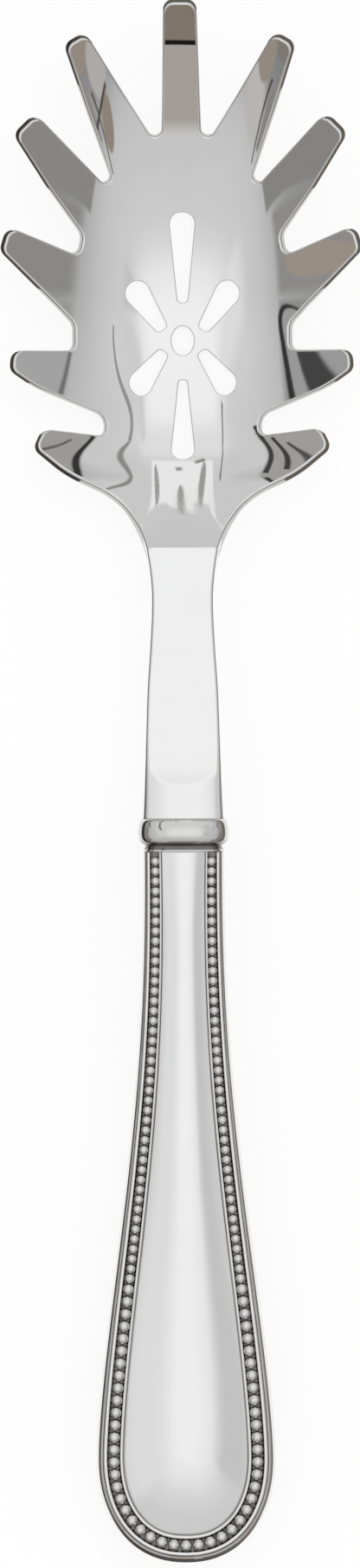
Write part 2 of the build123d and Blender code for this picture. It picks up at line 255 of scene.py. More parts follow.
def rounded_chain(corners, radii, closed, spacing):
    """Points and right-hand normals along an outline whose corners are rounded."""
    spots = [np.array(corner, dtype=float) for corner in corners]
    count = len(spots)
    runs = [spots[(i + 1) % count] - spots[i] for i in range(count)]
    lengths = [np.linalg.norm(run) for run in runs]
    heads = [run / length for run, length in zip(runs, lengths)]
    turns = []
    for i in range(count):
        before, after = heads[i - 1], heads[i]
        cross = before[0] * after[1] - before[1] * after[0]
        turns.append(math.atan2(cross, float(before @ after)))
    if not closed:
        turns[0] = turns[-1] = 0.0
    reaches = [radius * math.tan(abs(turn) / 2) for radius, turn in zip(radii, turns)]
    fills = []
    for i in range(count):
        wanted = reaches[i] + reaches[(i + 1) % count]
        fills.append(min(1.0, CORNER_ROOM_SHARE * lengths[i] / wanted) if wanted > 0 else 1.0)
    points, tangents = [], []

    def line_to(target, heading):
        start = points[-1]
        length = np.linalg.norm(target - start)
        pieces = max(1, round(length / spacing))
        for k in range(1, pieces):
            points.append(start + (target - start) * k / pieces)
            tangents.append(heading)

    for i in range(count):
        fill = 1.0 if not closed and i in (0, count - 1) else min(fills[i - 1], fills[i])
        reach, radius, turn = reaches[i] * fill, radii[i] * fill, turns[i]
        before, after = heads[i - 1], heads[i]
        start = spots[i] - before * reach if reach > 0 else spots[i]
        if points:
            line_to(start, before)
        if reach == 0:
            points.append(spots[i])
            tangents.append(after if i == 0 else before)
            continue
        side = np.array([-before[1], before[0]]) * math.copysign(1.0, turn)
        centre = start + side * radius
        spoke = start - centre
        by_gap = math.ceil(abs(turn) * radius / (CORNER_GAP_SHARE * spacing))
        pieces = max(3, by_gap, math.ceil(abs(turn) / CORNER_TURN))
        for k in range(pieces + 1):
            cosine, sine = math.cos(turn * k / pieces), math.sin(turn * k / pieces)
            spin = np.array([[cosine, -sine], [sine, cosine]])
            points.append(centre + spin @ spoke)
            tangents.append(spin @ before)
    if closed:
        line_to(points[0], heads[-1])
    points = np.array(points)
    tangents = np.array(tangents)
    return points, np.stack([tangents[:, 1], -tangents[:, 0]], axis=1)


def head_chain():
    """The open outline of bowl and tines, from the neck's left side round to its right."""
    half = [(TIP_HALF, HEAD_REACH)]
    radii = [TIP_RADIUS]
    valley_radii = [VALLEY_RADIUS] * 2 + [WIDE_VALLEY_RADIUS] * 3
    rows = [(row, HEAD_REACH) for row in FRONT_TINES] + [(row, HEAD_BACK) for row in BACK_TINES]
    for (row, along), first_radius in zip(rows, valley_radii):
        half += [(share[0] * HEAD_HALF, share[1] * along) for share in row]
        radii += [first_radius, VALLEY_RADIUS, TIP_RADIUS, TIP_RADIUS, FLANK_RADIUS]
    half += [(x, y) for x, y, _ in SHOULDER] + [(CUT_HALF, CUT_PLACE)]
    radii += [radius for _, _, radius in SHOULDER] + [0.0]
    left = [(-x, y) for x, y in reversed(half)]
    points, inward = rounded_chain(left + half, radii[::-1] + radii, False, GRID)
    inward[0] = (CUT_LEAN, 0.0)
    inward[-1] = (-CUT_LEAN, 0.0)
    return points, inward


def flower_loops():
    """The holes of the flower, each a loop whose normals point into the metal."""
    turn = np.linspace(0.0, 2 * math.pi, EYE_POINTS, endpoint=False)
    eye = np.stack([EYE[0] / 2 * np.cos(turn), EYE[1] / 2 * np.sin(turn)], axis=1)
    out = np.stack([np.cos(turn) / EYE[0], np.sin(turn) / EYE[1]], axis=1)
    loops = [(eye, out / np.linalg.norm(out, axis=1, keepdims=True))]
    for narrow_end, wide_end, narrow_width, wide_width in FLOWER_SLOTS:
        for side in (1, -1):
            if side < 0 and narrow_end[0] == 0:
                continue
            start = np.array([side * narrow_end[0], narrow_end[1]]) * FLOWER_REACH
            end = np.array([side * wide_end[0], wide_end[1]]) * FLOWER_REACH
            run = (end - start) / np.linalg.norm(end - start)
            across = np.array([-run[1], run[0]]) * FLOWER_REACH / 2
            narrow, wide = across * narrow_width, across * wide_width
            corners = [start + narrow, start - narrow, end - wide, end + wide]
            radii = [SLOT_ROUNDING_SHARE * np.linalg.norm(half) for half in (narrow, narrow, wide, wide)]
            loops.append(rounded_chain(corners, radii, True, SLOT_SPACING))
    return loops


def edge_rings(places, inward, radius):
    """Rings of a rounded edge from the upper face down: their places in plan, depth shares and normals."""
    base, normal = sheet_frame(places[:, 0], places[:, 1])
    step = SLOPE_STEP
    ahead, _ = sheet_frame(places[:, 0] + step * inward[:, 0], places[:, 1] + step * inward[:, 1])
    into = (ahead - base) / step
    stretch = np.linalg.norm(into, axis=1, keepdims=True) / np.linalg.norm(inward, axis=1, keepdims=True)
    into /= np.linalg.norm(into, axis=1, keepdims=True)
    full = SHEET + root_extra(places[:, 1])
    rings = []
    for k in range(CORNER_STEPS + 1):
        angle = k / CORNER_STEPS * math.pi / 2
        plan = places + inward * radius * (1 - math.sin(angle)) / stretch
        share = radius * (1 - math.cos(angle)) / full
        rings.append((plan, share, normal * math.cos(angle) - into * math.sin(angle)))
    for k in range(CORNER_STEPS + 1):
        angle = k / CORNER_STEPS * math.pi / 2
        plan = places + inward * radius * (1 - math.cos(angle)) / stretch
        share = 1 - radius * (1 - math.sin(angle)) / full
        rings.append((plan, share, -normal * math.sin(angle) - into * math.cos(angle)))
    return rings


def inside(points, loop):
    """Which points lie inside a closed loop."""
    x, y = points[:, 0], points[:, 1]
    found = np.zeros(len(points), dtype=bool)
    for (x0, y0), (x1, y1) in zip(loop, np.roll(loop, -1, axis=0)):
        if y0 == y1:
            continue
        crosses = (y0 > y) != (y1 > y)
        found ^= crosses & (x < (x1 - x0) * (y - y0) / (y1 - y0) + x0)
    return found


def clearance(points, boundary):
    """Distance from each point to the nearest point of the boundary."""
    best = np.full(len(points), np.inf)
    for spot in boundary:
        np.minimum(best, np.hypot(points[:, 0] - spot[0], points[:, 1] - spot[1]), out=best)
    return best


def curve_through(places, values, at):
    """A smooth curve through the values given at a few places."""
    places, values = np.array(places), np.array(values)
    slopes = np.gradient(values, places)
    index = np.clip(np.searchsorted(places, at) - 1, 0, len(places) - 2)
    width = places[index + 1] - places[index]
    t = (at - places[index]) / width
    first = (1 + 2 * t) * (1 - t) ** 2 * values[index] + t * (1 - t) ** 2 * width * slopes[index]
    last = t * t * (3 - 2 * t) * values[index + 1] - t * t * (1 - t) * width * slopes[index + 1]
    return first + last


def changing(place, first, *changes):
    """A value at a place along the neck: the value at the bowl and the changes up to that place."""
    return first + sum(amount * float(smooth((place - start) / length)) for start, length, amount in changes)


def neck_section(share, spread, edge):
    """One section of neck and shank along its axis: upper row, right rim, lower row and left rim."""
    place = share * NECK_LENGTH
    below = CUT_FLOOR_PLACE + share * (NECK_LENGTH - CUT_FLOOR_PLACE)
    half = float(curve_through(NECK_PLACES, NECK_HALVES, np.array(place)))
    upper = edge + changing(place, *UPPER_EDGE_GROWTH)
    lower = edge + changing(place, *LOWER_EDGE_GROWTH)
    crown = changing(place, *CROWN_DROP)
    flat = NECK_FACE + math.tan(SLOPE) * place + SCOOP_RISE * max(0.0, place - SCOOP_START) ** 2
    bar = changing(place, *BAR_HEIGHT)
    floor = -changing(place, *FLOOR_DEPTH)
    lip, lip_length = FACE_LIP

    def roof(x):
        dome = bar - crown * (np.abs(x) / half) ** CROWN_POWER
        return flat - ramp(flat - dome, FACE_BLEND) + lip * (1 - smooth(place / lip_length))

    x_in = half - upper
    row = spread * x_in
    top = np.stack([row, np.full_like(row, 0.0), roof(row)], axis=1)
    shoulder = float(roof(np.array(x_in)))
    depth = shoulder - floor
    rim = []
    for k in range(1, CORNER_STEPS + 1):
        angle = k / CORNER_STEPS * math.pi / 2
        rim.append((half - upper * (1 - math.sin(angle)), upper * (1 - math.cos(angle))))
    for k in range(CORNER_STEPS):
        angle = k / CORNER_STEPS * math.pi / 2
        rim.append((half - lower * (1 - math.cos(angle)), depth - lower + lower * math.sin(angle)))
    right = np.array([(x, sink / depth, shoulder - sink) for x, sink in rim])
    left = right[::-1] * np.array([-1.0, 1.0, 1.0])
    low_row = spread[::-1] * (half - lower)
    low = np.stack([low_row, np.ones_like(low_row), np.full_like(low_row, floor)], axis=1)
    ring = np.concatenate([top, right, low, left])
    ring[:, 1] = -(place + (below - place) * ring[:, 1])
    return ring


def add_object(name, data):
    """An object in the scene that shows this data."""
    thing = bpy.data.objects.new(name, data)
    bpy.context.scene.collection.objects.link(thing)
    return thing


def add_mesh(name, points, faces):
    """A mesh object from points in metres."""
    mesh = bpy.data.meshes.new(name)
    mesh.from_pydata([tuple(point) for point in points], [], faces)
    return add_object(name, mesh)


def turn_outwards(mesh, weld=0.0):
    """Weld points closer than a distance in metres, turn the faces outwards and shade them smooth."""
    work = bmesh.new()
    work.from_mesh(mesh)
    if weld:
        bmesh.ops.remove_doubles(work, verts=work.verts, dist=weld)
        bmesh.ops.dissolve_degenerate(work, edges=work.edges, dist=weld * DEGENERATE_SHARE)
    bmesh.ops.recalc_face_normals(work, faces=work.faces)
    work.to_mesh(mesh)
    work.free()
    mesh.shade_smooth()


def grid_normals(rows):
    """Normals of a grid of points whose rows are closed loops."""
    along = np.gradient(rows, axis=0)
    across = np.roll(rows, -1, axis=1) - np.roll(rows, 1, axis=1)
    normal = np.cross(along, across)
    return normal / np.linalg.norm(normal, axis=2, keepdims=True)


def build_bowl(edge):
    """The mesh of bowl, tines, neck and shank, with exact normals for its mirror polish."""
    chain, chain_in = head_chain()
    loops = flower_loops()
    rims = [edge_rings(chain, chain_in, edge)]
    rims += [edge_rings(points, into, HOLE_EDGE_SHARE * edge) for points, into in loops]
    spread = np.linspace(-1.0, 1.0, NECK_ACROSS + 1)
    first, last = rims[0][0][0][0], rims[0][0][0][-1]
    cut_x = np.linspace(first[0], last[0], NECK_ACROSS + 1)[1:-1]
    cut = np.stack([cut_x, np.full_like(cut_x, CUT_PLACE)], axis=1)

    outer = np.concatenate([rims[0][0][0], cut[::-1]])
    holes = [rim[0][0] for rim in rims[1:]]
    boundary = np.concatenate([outer] + holes)
    xs = np.arange(-HEAD_HALF - 1, HEAD_HALF + 1, GRID)
    ys = np.arange(CUT_PLACE, HEAD_REACH, GRID * GRID_ROW_SHARE)
    lattice = np.array([(x + (row % 2) * GRID / 2, y) for row, y in enumerate(ys) for x in xs])
    kept = inside(lattice, outer)
    for hole in holes:
        kept &= ~inside(lattice, hole)
    lattice = lattice[kept]
    lattice = lattice[clearance(lattice, boundary) > GRID_GAP_SHARE * GRID]

    plan = np.concatenate([boundary, lattice])
    edges, start = [], 0
    for loop in [outer] + holes:
        count = len(loop)
        edges += [(start + i, start + (i + 1) % count) for i in range(count)]
        start += count
    found = delaunay_2d_cdt([Vector(point) for point in plan], edges, [], 0, SAME_POINT, True)
    source = [origin[0] for origin in found[3]]
    triangles = np.array([[source[i] for i in face] for face in found[2]])
    middles = plan[triangles].mean(axis=1)
    wanted = inside(middles, outer)
    for hole in holes:
        wanted &= ~inside(middles, hole)
    triangles = triangles[wanted]

    count = len(plan)
    points = [sheet_point(plan, np.zeros(count)), sheet_point(plan, np.ones(count))]
    normals = [face_normals(plan, np.zeros(count)), -face_normals(plan, np.ones(count))]
    shade_films = [np.zeros(2 * count)]
    faces = [tuple(map(int, face)) for face in triangles]
    faces += [tuple(int(i) + count for i in face[::-1]) for face in triangles]
    total = 2 * count
    start = 0
    cut_rims = []
    for number, rim in enumerate(rims):
        size = len(rim[0][0])
        ids = [np.arange(start, start + size)]
        for places, share, normal in rim[1:-1]:
            points.append(sheet_point(places, share))
            normals.append(normal)
            # Painted shade on the rounded edges, below the upper face
            shade_films.append(np.full(size, EDGE_SHADE) * (share > SHADE_START))
            ids.append(np.arange(total, total + size))
            total += size
        ids.append(np.arange(start, start + size) + count)
        closed = number > 0
        for upper, lower in zip(ids, ids[1:]):
            for i in range(size if closed else size - 1):
                j = (i + 1) % size
                faces.append((int(upper[i]), int(upper[j]), int(lower[j]), int(lower[i])))
        if number == 0:
            cut_rims = ids
            start += size + len(cut)
        else:
            start += size

    size = len(chain)
    cut_ids = size + np.arange(len(cut))[::-1]
    top_row = [int(cut_rims[0][0])] + [int(i) for i in cut_ids] + [int(cut_rims[0][-1])]
    low_row = [i + count for i in top_row][::-1]
    right = [int(ring[-1]) for ring in cut_rims[1:-1]]
    left = [int(ring[0]) for ring in cut_rims[1:-1]][::-1]
    loop = top_row + right + low_row + left
    bowl_faces = len(faces)

    shares = np.linspace(0.0, 1.0, NECK_STATIONS + 1)[1:]
    sections = np.array([neck_section(share, spread, edge) for share in shares])
    sections = neck_to_bowl(sections)
    bowl_points = np.concatenate(points)
    rows = np.concatenate([bowl_points[loop][None], sections])
    neck_normals = grid_normals(rows)
    middle = rows.mean(axis=1, keepdims=True)
    if ((rows - middle) * neck_normals).sum() < 0:
        neck_normals = -neck_normals
    width = len(loop)
    ids = [loop] + [[total + row * width + i for i in range(width)] for row in range(NECK_STATIONS)]
    for upper, lower in zip(ids, ids[1:]):
        for i in range(width):
            j = (i + 1) % width
            faces.append((upper[i], upper[j], lower[j], lower[i]))
    faces.append(tuple(ids[-1]))
    points.append(sections.reshape(-1, 3))
    shade_films.append(np.zeros(NECK_STATIONS * width))
    normals.append(neck_normals[1:].reshape(-1, 3))
    all_normals = np.concatenate(normals)
    neck_at_cut = dict(zip(loop, neck_normals[0]))

    piece = add_mesh("bowl_and_neck", bowl_to_frame(np.concatenate(points)), faces)
    mesh = piece.data
    turn_outwards(mesh)
    set_painted_shade(mesh, np.concatenate(shade_films))
    corner = np.zeros(len(mesh.loops), dtype=np.int32)
    mesh.loops.foreach_get("vertex_index", corner)
    custom = all_normals[corner]
    crease = set(top_row[1:-1])
    for polygon in mesh.polygons[bowl_faces:bowl_faces + width]:
        for at in polygon.loop_indices:
            if corner[at] in crease:
                custom[at] = neck_at_cut[int(corner[at])]
    end = mesh.polygons[len(faces) - 1]
    for at in end.loop_indices:
        custom[at] = end.normal
    mesh.normals_split_custom_set([tuple(normal) for normal in custom])
    return piece


def superellipse(width, height, power, count):
    """A closed rounded section, as points across and up."""
    turn = np.linspace(0.0, 2 * math.pi, count, endpoint=False)
    cosine, sine = np.cos(turn), np.sin(turn)
    x = width * np.sign(cosine) * np.abs(cosine) ** (2 / power)
    z = height * np.sign(sine) * np.abs(sine) ** (2 / power)
    return x, z


def tube(name, sections, to_frame):
    """A closed piece through loops of points, with flat ends."""
    rows, width = len(sections), len(sections[0])
    faces = []
    for row in range(rows - 1):
        for i in range(width):
            j = (i + 1) % width
            low, high = row * width, (row + 1) * width
            faces.append((low + i, low + j, high + j, high + i))
    faces.append(tuple(range(width)))
    faces.append(tuple((rows - 1) * width + i for i in range(width)))
    piece = add_mesh(name, to_frame(np.array(sections).reshape(-1, 3)), faces)
    turn_outwards(piece.data)
    return piece


# Collar: half its width and height and the power of its section, its points round, and how it flattens
COLLAR_SECTION = (8.1, 5.7, 3.1)
COLLAR_POINTS = 144
COLLAR_FLATTENING = 1.25
# Collar along its axis: place, share of its full section and painted shade, darkest in the groove and at both
# ends
COLLAR_PROFILE = [
    (48.20, 0.800, 0.9), (48.21, 0.866, 0.9), (48.24, 0.886, 0.7), (48.34, 0.914, 0.2), (48.58, 0.944, 0.16),
    (49.0, 0.968, 0.2), (49.6, 0.986, 0.22), (50.3, 0.997, 0.22), (51.0, 1.0, 0.22), (51.6, 0.994, 0.22),
    (52.05, 0.980, 0.3), (52.38, 0.960, 0.5), (52.62, 0.936, 0.8), (52.78, 0.910, 1.0), (52.88, 0.884, 1.0),
    (52.94, 0.858, 1.0), (53.04, 0.846, 1.0), (53.30, 0.846, 1.0), (53.56, 0.858, 1.0), (53.72, 0.872, 0.8),
    (53.86, 0.880, 0.2), (54.06, 0.880, 0.0), (54.16, 0.868, 0.5), (54.20, 0.800, 1.0),
]


def set_painted_shade(mesh, values):
    """Keep for each point how much painted shade it gets, a dark film where shade falls."""
    layer = mesh.attributes.new("recess", "FLOAT", "POINT")
    layer.data.foreach_set("value", np.asarray(values, dtype=np.float32))


def build_collar():
    """The pillow-shaped ring with the narrow step behind it."""
    x, z = superellipse(*COLLAR_SECTION, COLLAR_POINTS)
    sections = []
    for place, share, _ in COLLAR_PROFILE:
        height_share = 1 - COLLAR_FLATTENING * (1 - share)
        sections.append(np.stack([x * share, np.full_like(x, -place), z * height_share], axis=1))
    piece = tube("collar_ring", sections, lambda points: bowl_to_frame(neck_to_bowl(points)))
    # Painted shade of the collar, dark in its groove and at its ends
    shade_films = np.repeat([shade_film for _, _, shade_film in COLLAR_PROFILE], len(x))
    set_painted_shade(piece.data, shade_films)
    return piece


# Border of the handle across its width at the butt: inset from the outline, height and painted shade
BORDER = [
    (0.05, 0.00, 0.5), (0.06, 0.90, 0.3), (0.12, 1.85, 0.1), (0.19, 2.35, 0.0), (0.30, 2.74, 0.0),
    (0.46, 3.06, 0.0), (0.66, 3.34, 0.0), (0.90, 3.56, 0.0), (1.12, 3.70, 0.1), (1.26, 3.74, 0.7),
    (1.33, 3.70, 1.0), (1.40, 3.80, 0.8), (1.46, 4.06, 0.2), (1.54, 4.19, 0.0), (1.68, 4.235, 0.0),
    (1.95, 4.245, 0.0), (2.10, 4.20, 0.0), (2.18, 4.08, 0.4), (2.26, 3.92, 1.0), (2.60, 3.82, 1.0),
    (3.35, 3.78, 1.0), (4.10, 3.82, 1.0), (4.42, 3.92, 1.0), (4.50, 4.08, 0.4), (4.58, 4.19, 0.0),
    (4.74, 4.235, 0.0), (4.96, 4.235, 0.0), (5.08, 4.17, 0.1), (5.16, 4.03, 0.7), (5.22, 3.92, 1.0),
    (5.28, 3.90, 0.9), (5.36, 3.95, 0.2), (5.50, 4.01, 0.0),
]
PANEL_SHARES = [0.02, 0.05, 0.09, 0.14, 0.20, 0.27, 0.35, 0.44, 0.54, 0.64, 0.74, 0.84, 0.93, 1.0]
INSET_AT_BUTT = [0.0, 1.5, 1.9, 3.35, 5.2, 6.3]
INSET_AT_MOUTH = [0.0, 0.85, 1.17, 2.26, 3.36, 3.9]
PANEL_INSET = 5.5
PANEL_POLE = 18.0
PANEL_POLE_BLEND = 8.0
PANEL_RISE_SHARE = 0.145
WALL = 0.7
WALL_CLEARANCE = 0.15
BUTT_STEPS = 90
SIDE_STEPS = 190
BUTT_POWER = 2.2
WAIST_START_POWER = 1.5
WAIST_POWER = 2.6
STEP_PROBE = 1 / 600
MOUTH_MARGIN = 1e-6
SHARP_ANGLE = 62.0


def outline_point(step):
    """A point of the outline: steps up to 1 go round the butt, and from 1 to 2 along the side."""
    if step <= 1:
        angle = step * math.pi / 2
        return np.array([
            BELLY_HALF * math.sin(angle) ** (2 / BUTT_POWER),
            BUTT_LENGTH * (1 - math.cos(angle) ** (2 / BUTT_POWER)) if step < 1 else BUTT_LENGTH,
        ])
    progress = step - 1
    along = BUTT_LENGTH + (HANDLE_LENGTH - BUTT_LENGTH) * progress
    fall = max(0.0, 1 - progress ** WAIST_START_POWER) ** WAIST_POWER
    return np.array([MOUTH_HALF + (BELLY_HALF - MOUTH_HALF) * fall, along])


def outline_inward(step):
    """The inward direction at a point of the outline."""
    if step <= 0:
        return np.array([0.0, 1.0])
    if step >= 2:
        return np.array([-1.0, 0.0])
    run = outline_point(min(2.0, step + STEP_PROBE)) - outline_point(max(0.0, step - STEP_PROBE))
    run /= np.linalg.norm(run)
    return np.array([-run[1], run[0]])


def inset_point(step, inset):
    """A point inside the outline, by an inset that shrinks from the butt to the mouth."""
    point = outline_point(step)
    towards_butt = 1 - point[1] / HANDLE_LENGTH
    at_mouth = float(np.interp(inset, INSET_AT_BUTT, INSET_AT_MOUTH))
    return point + outline_inward(step) * (at_mouth + (inset - at_mouth) * towards_butt)


def shell_steps():
    """Steps along half the outline, closer together where the butt is round."""
    butt = (1 - np.cos(np.linspace(0.0, math.pi, BUTT_STEPS + 1))) / 2
    side = 1 + np.linspace(0.0, 1.0, SIDE_STEPS + 1)[1:]
    return np.concatenate([butt, side])


def panel_row(rim, skin):
    """Points from the panel's edge in to its middle line, on a gentle crown."""
    beside = PANEL_POLE + float(ramp(rim[1] - PANEL_POLE, PANEL_POLE_BLEND))
    at_mouth = rim[1] >= HANDLE_LENGTH - MOUTH_MARGIN
    pole = np.array([0.0, HANDLE_LENGTH if at_mouth else min(beside, HANDLE_LENGTH)])
    room = float(np.linalg.norm(pole - rim))
    most = PANEL_HEIGHT_BELLY + (PANEL_HEIGHT_MOUTH - PANEL_HEIGHT_BELLY) * rim[1] / HANDLE_LENGTH
    rise = min(most, PANEL_RISE_SHARE * room)
    points = []
    for share in PANEL_SHARES:
        spot = rim + (pole - rim) * share
        points.append((spot[0], spot[1], BORDER[-1][1] - skin + rise * (1 - (1 - share) ** 2)))
    return points


def shell_rows(skin):
    """The outer face of a shell, or its inner face when a skin is taken off, row by row."""
    rows = []
    for step in shell_steps():
        row = []
        for inset, height, _ in BORDER:
            if skin:
                inset = skin + inset * (PANEL_INSET - skin) / PANEL_INSET
                height = max(0.0, min(height, FLOOR_HEIGHT - WALL_CLEARANCE) - skin)
            point = inset_point(step, inset)
            row.append((point[0], min(point[1], HANDLE_LENGTH), height))
        rim = np.array(row[-1][:2])
        row += panel_row(rim, skin)
        rows.append(row)
    right = np.array(rows)
    left = right[:0:-1] * np.array([-1.0, 1.0, 1.0])
    return np.concatenate([left, right])


def build_shell(name, side):
    """One stamped half of the handle, on the upper or lower side of the seam."""
    outer = shell_rows(0.0)
    inner = shell_rows(WALL)
    rows, width = outer.shape[:2]
    points = np.concatenate([outer.reshape(-1, 3), inner.reshape(-1, 3)])
    points[:, 2] *= side
    offset = rows * width
    faces = []
    for base in (0, offset):
        for row in range(rows - 1):
            for i in range(width - 1):
                a = base + row * width + i
                faces.append((a, a + 1, a + 1 + width, a + width))
    for row in range(rows - 1):
        a = row * width
        faces.append((a, a + width, a + width + offset, a + offset))
    for row in (0, rows - 1):
        for i in range(width - 1):
            a = row * width + i
            faces.append((a, a + 1, a + 1 + offset, a + offset))
    piece = add_mesh(name, handle_to_frame(points), faces)
    # Painted shade in the border's grooves and bead channel, none on the panel or inside
    shade_film = [shade_film for _, _, shade_film in BORDER] + [0.0] * len(PANEL_SHARES)
    set_painted_shade(piece.data, np.concatenate([np.tile(shade_film, rows), np.zeros(len(points) - offset)]))
    turn_outwards(piece.data, SHELL_WELD)
    piece.data.set_sharp_from_angle(angle=math.radians(SHARP_ANGLE))
    return piece


# Row of beads: steps along the outline, gap from bead to bead near the collar and round the butt, and where
# and over what length the large beads end
BEAD_STEPS = 600
SMALL_PITCH = 1.78
LARGE_PITCH = 2.22
LARGE_END = 53.6
LARGE_FADE = 5.0


def bead_places(small_radius, large_radius):
    """Centre and radius of each bead on one side, from the middle of the butt to the mouth."""
    places = [(0.0, BEAD_INSET, large_radius)]
    last = np.array([0.0, BEAD_INSET])
    travelled = 0.0
    for index in range(1, BEAD_STEPS + 1):
        point = inset_point(2 * index / BEAD_STEPS, BEAD_INSET)
        step = np.linalg.norm(point - last)
        travelled += step
        size = float(smooth((LARGE_END - point[1]) / LARGE_FADE))
        pitch = SMALL_PITCH + (LARGE_PITCH - SMALL_PITCH) * size
        radius = small_radius + (large_radius - small_radius) * size
        if travelled >= pitch and point[1] < HANDLE_LENGTH - radius:
            travelled -= pitch
            place = point + (last - point) * (travelled / step)
            places.append((place[0], place[1], radius))
        last = point
    return places


class Wire:
    """A node's value that can be written in sums."""

    def __init__(self, bench, socket):
        self.bench = bench
        self.socket = socket

    def math(self, operation, *others):
        return self.bench.node("ShaderNodeMath", {"operation": operation}, self, *others)

    def __add__(self, other):
        return self.math("ADD", other)

    def __sub__(self, other):
        return self.math("SUBTRACT", other)

    def __mul__(self, other):
        return self.math("MULTIPLY", other)

    def __truediv__(self, other):
        return self.math("DIVIDE", other)

    def __rsub__(self, other):
        return self.bench.node("ShaderNodeMath", {"operation": "SUBTRACT"}, other, self)

    __radd__ = __add__
    __rmul__ = __mul__


class Bench:
    """The node tree that a material or a row of beads is put together on."""

    def __init__(self, tree):
        self.tree = tree
        self.tree.nodes.clear()

    def node(self, kind, settings=None, *values, out=0, at=None, **named):
        """Add a node, set it, fill its sockets in order, by number or by name, and give its outputs."""
        made = self.tree.nodes.new(kind)
        for key, value in (settings or {}).items():
            if key == "stops":
                self.set_stops(made.color_ramp, value)
            else:
                setattr(made, key, value)
        by_name = {key.replace("_", " "): value for key, value in named.items()}
        for key, value in [*enumerate(values), *(at or {}).items(), *by_name.items()]:
            if isinstance(value, Wire):
                self.tree.links.new(value.socket, made.inputs[key])
            else:
                made.inputs[key].default_value = value
        if isinstance(out, tuple):
            return [Wire(self, made.outputs[key]) for key in out]
        return Wire(self, made.outputs[out]) if made.outputs else made

    @staticmethod
    def set_stops(color_ramp, stops):
        while len(color_ramp.elements) < len(stops):
            color_ramp.elements.new(1.0)
        for element, (place, color) in zip(color_ramp.elements, stops):
            element.position = place
            element.color = (*color, 1.0)


# Inputs of the bead row beside its points: label, kind of socket and default
BEAD_INPUTS = [
    ("Segments", "NodeSocketInt", 12), ("Rings", "NodeSocketInt", 6), ("Size", "NodeSocketFloat", 1.0),
    ("Side", "NodeSocketFloat", 1.0), ("Flatness", "NodeSocketFloat", 1.0),
]


def bead_tree(material):
    """Geometry nodes that set a small ball on every point, as large as the point says."""
    tree = bpy.data.node_groups.new("Bead row", "GeometryNodeTree")
    tree.interface.new_socket("Geometry", in_out="INPUT", socket_type="NodeSocketGeometry")
    for label, kind, value in BEAD_INPUTS:
        socket = tree.interface.new_socket(label, in_out="INPUT", socket_type=kind)
        socket.default_value = value
    tree.interface.new_socket("Geometry", in_out="OUTPUT", socket_type="NodeSocketGeometry")
    bench = Bench(tree)
    labels = tuple(label for label, _, _ in BEAD_INPUTS)
    points, segments, rings, size, side, flatness = bench.node("NodeGroupInput", out=("Geometry",) + labels)
    ball = bench.node("GeometryNodeMeshUVSphere", {}, segments, rings, 1.0)
    upward = bench.node("ShaderNodeSeparateXYZ", {}, bench.node("GeometryNodeInputPosition"), out="Z") * side
    marked = bench.node(
        "GeometryNodeStoreNamedAttribute", {"data_type": "FLOAT", "domain": "POINT"},
        Geometry=ball, Name="ball_height", Value=upward)
    radius = bench.node("GeometryNodeInputNamedAttribute", {"data_type": "FLOAT"}, "bead_radius") * size
    sides = bench.node("ShaderNodeCombineXYZ", {}, radius, radius, radius * flatness)
    row = bench.node("GeometryNodeInstanceOnPoints", Points=points, Instance=marked, Scale=sides)
    real = bench.node("GeometryNodeRealizeInstances", {}, row)
    round_row = bench.node("GeometryNodeSetShadeSmooth", {}, real)
    dressed = bench.node("GeometryNodeSetMaterial", Geometry=round_row, Material=material)
    bench.node("NodeGroupOutput", {}, dressed)
    return tree


def build_beads(name, side, sizes, material):
    """The row of beads of one shell, made a plain mesh."""
    places = []
    for x, y, radius in bead_places(sizes.small_bead / MM, sizes.large_bead / MM):
        places.append((x, y, radius))
        if x > 0:
            places.append((-x, y, radius))
    centres = np.array([(x, y, side * sizes.bead_height / MM) for x, y, _ in places])
    holder = add_mesh(name + "_places", handle_to_frame(centres), [])
    values = holder.data.attributes.new("bead_radius", "FLOAT", "POINT")
    values.data.foreach_set("value", np.array([radius * MM for _, _, radius in places], dtype=np.float32))
    modifier = holder.modifiers.new("Bead row", "NODES")
    modifier.node_group = bead_tree(material)
    sockets = modifier.node_group.interface.items_tree
    names = {socket.name: socket.identifier for socket in sockets if socket.in_out == "INPUT"}
    modifier[names["Segments"]] = sizes.bead_segments
    modifier[names["Rings"]] = sizes.bead_segments // 2
    modifier[names["Side"]] = side
    modifier[names["Flatness"]] = sizes.bead_flatness
    graph = bpy.context.evaluated_depsgraph_get()
    result = bpy.data.meshes.new_from_object(holder.evaluated_get(graph))
    result.name = name
    bpy.data.objects.remove(holder)
    return add_object(name, result)


# Sockets of a Mix node that mixes colours, which share their names with others
MIX_SHARE, MIX_FIRST, MIX_SECOND, MIX_RESULT = 0, 6, 7, 2


def mix_color(bench, share, first, second):
    """A mix of two colours by the share of the second."""
    sockets = {MIX_SHARE: share, MIX_FIRST: first, MIX_SECOND: second}
    return bench.node("ShaderNodeMix", {"data_type": "RGBA"}, at=sockets, out=MIX_RESULT)


def soft_share(bench, value, start, end, first=0.0, last=1.0):
    """A share that goes softly from its first to its last value as a value goes from start to end."""
    kind = {"interpolation_type": "SMOOTHSTEP"}
    return bench.node("ShaderNodeMapRange", kind, value, start, end, first, last)


def opaque(color, share=1.0):
    """A colour, or a darker share of it, with full cover."""
    return (*(share * value for value in color), 1.0)


def new_material(name):
    """A material and its empty bench."""
    material = bpy.data.materials.new(name)
    material.use_nodes = True
    return material, Bench(material.node_tree)
